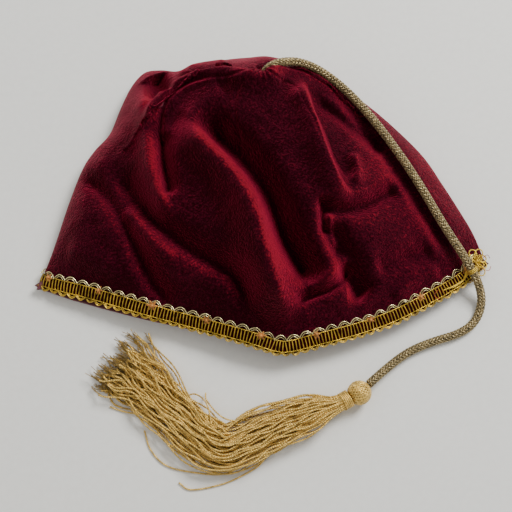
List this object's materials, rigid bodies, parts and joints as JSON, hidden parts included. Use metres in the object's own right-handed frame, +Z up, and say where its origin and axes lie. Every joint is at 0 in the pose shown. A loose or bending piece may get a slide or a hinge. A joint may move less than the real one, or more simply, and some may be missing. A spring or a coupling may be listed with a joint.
{
  "type": "tasselled velvet cap",
  "caption": "Soft lined velvet cap of sewn gores, lying collapsed, with a metallic braid round the hem and a cord that ends in a long tassel.",
  "frame": {"origin": "on the surface that the cap lies on, under the middle of the cap without its cord and tassel", "axes": "+Z up from the surface, +X along the flattened hem to the side where the cord crosses it, +Y from the head opening to the crown"},
  "size_m": [0.2756, 0.266, 0.0517],
  "materials": {
    "velvet": "burgundy cotton velvet with a short dense pile",
    "lining": "plain dark red satin-weave lining",
    "facing": "ribbed dark red tape",
    "metallic_braid": "bright yellow-gold metallic gimp",
    "cord_braid": "antique gold tubular metallic braid",
    "tassel_thread": "warm gold twisted rayon thread",
    "tack_thread": "yellow sewing thread",
    "core_wood": "plain turned bead"
  },
  "bodies": {
    "root": {"velvet_gore_front_left": "velvet", "velvet_gore_front_centre": "velvet", "velvet_gore_front_right": "velvet", "velvet_gore_rear_left": "velvet", "velvet_gore_rear_centre": "velvet", "velvet_gore_rear_right": "velvet", "lining_gore_front_left": "lining", "lining_gore_front_centre": "lining", "lining_gore_front_right": "lining", "lining_gore_rear_left": "lining", "lining_gore_rear_centre": "lining", "lining_gore_rear_right": "lining", "hem_facing": "facing", "hem_braid": "metallic_braid", "braid_end": "metallic_braid", "cord": "cord_braid", "cord_anchor_knot": "cord_braid", "hem_tack": "tack_thread"},
    "tassel": {"tassel_head": "tassel_thread", "tassel_core": "core_wood", "tassel_neck_binding": "tassel_thread"},
    "skirt": {"tassel_skirt": "tassel_thread"}
  },
  "joints": [
    {"name": "tassel_swing", "type": "hinge", "parent": "root", "child": "tassel", "pos_m": [0.057, -0.1195, 0.0075], "axis": [0, 0, 1], "range_deg": [0, 45]},
    {"name": "skirt_sway", "type": "hinge", "parent": "tassel", "child": "skirt", "pos_m": [0.04155, -0.12772, 0.0065], "axis": [0, 0, 1], "range_deg": [0, 30]}
  ]
}
